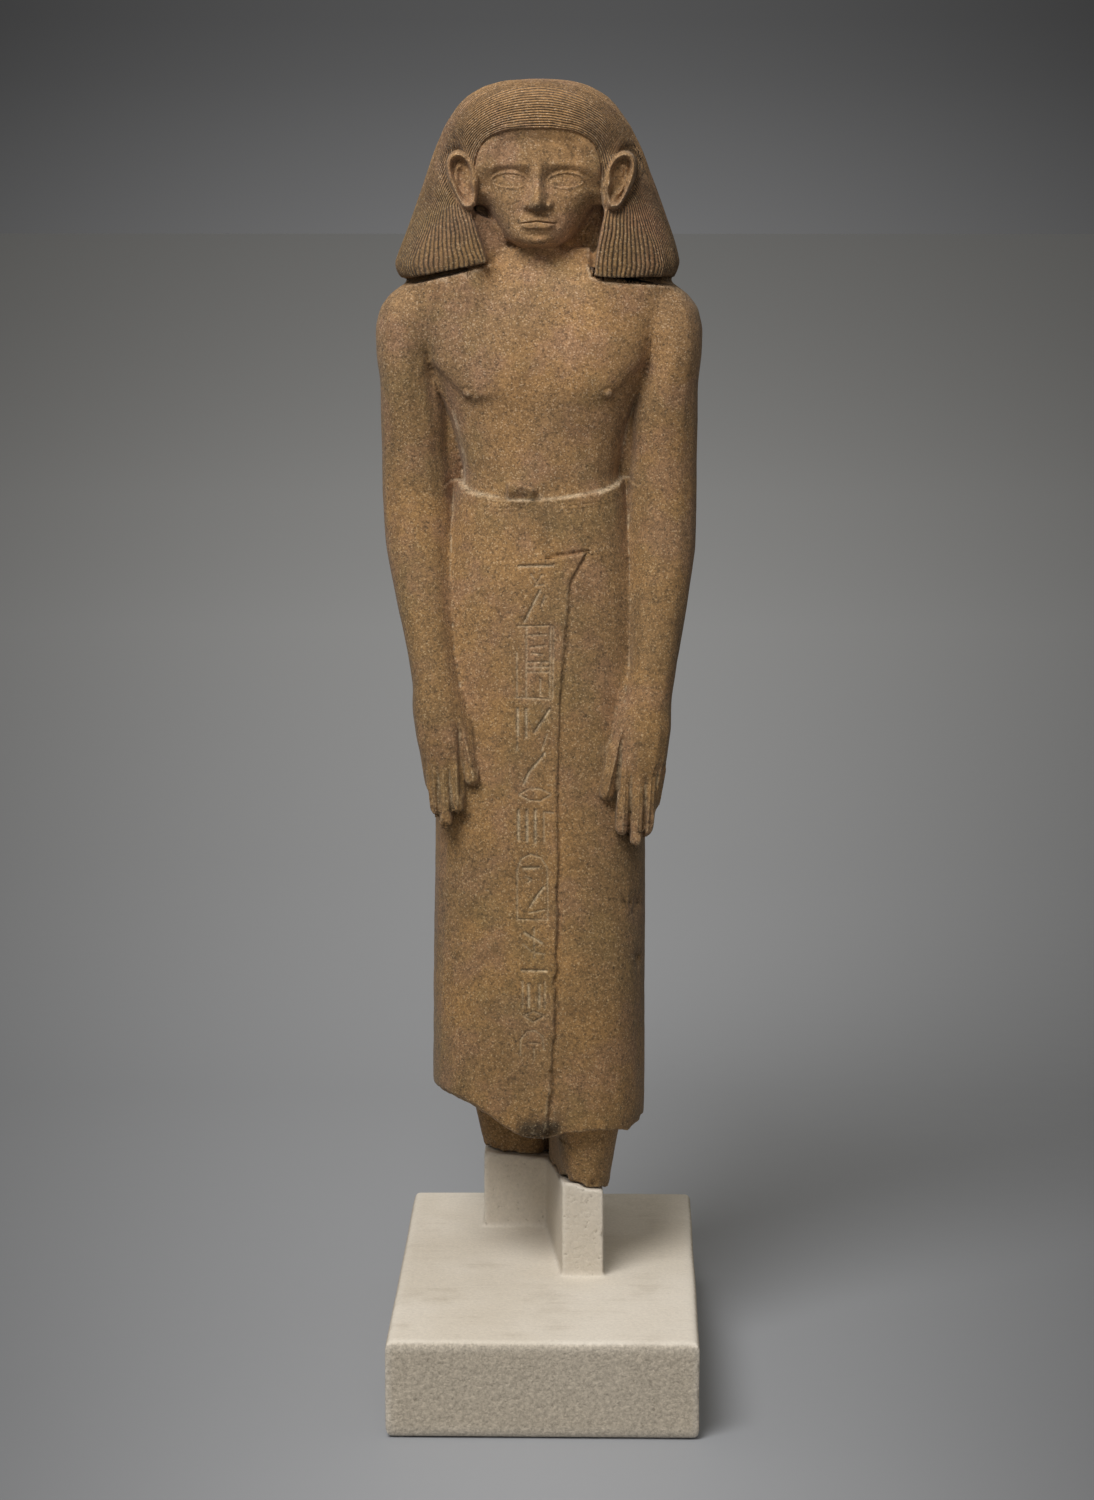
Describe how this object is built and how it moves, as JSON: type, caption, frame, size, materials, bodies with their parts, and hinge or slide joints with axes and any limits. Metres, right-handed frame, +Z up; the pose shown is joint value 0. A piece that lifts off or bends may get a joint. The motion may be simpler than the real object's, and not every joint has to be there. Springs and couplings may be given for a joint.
{
  "type": "stone figure of a standing man on a plaster plinth",
  "caption": "Carved standing man in a shoulder-length wig and long wrap kilt, hands flat on the thighs, feet broken away, set on a pale rectangular plaster plinth.",
  "frame": {"origin": "centre of the overall box at the plinth's underside", "axes": "+Z up, -Y the way the figure faces, +X towards the figure's left hand, which is the viewer's right"},
  "size_m": [0.201, 0.304, 0.782],
  "materials": {
    "quartzite": "matte brown sandstone grain, speckled lighter and darker, rubbed pale at the edges",
    "plaster": "matte warm white plaster, brushed and slightly worn at the edges"
  },
  "bodies": {
    "root": {"stone_figure": "quartzite", "plaster_plinth": "plaster"}
  },
  "joints": []
}
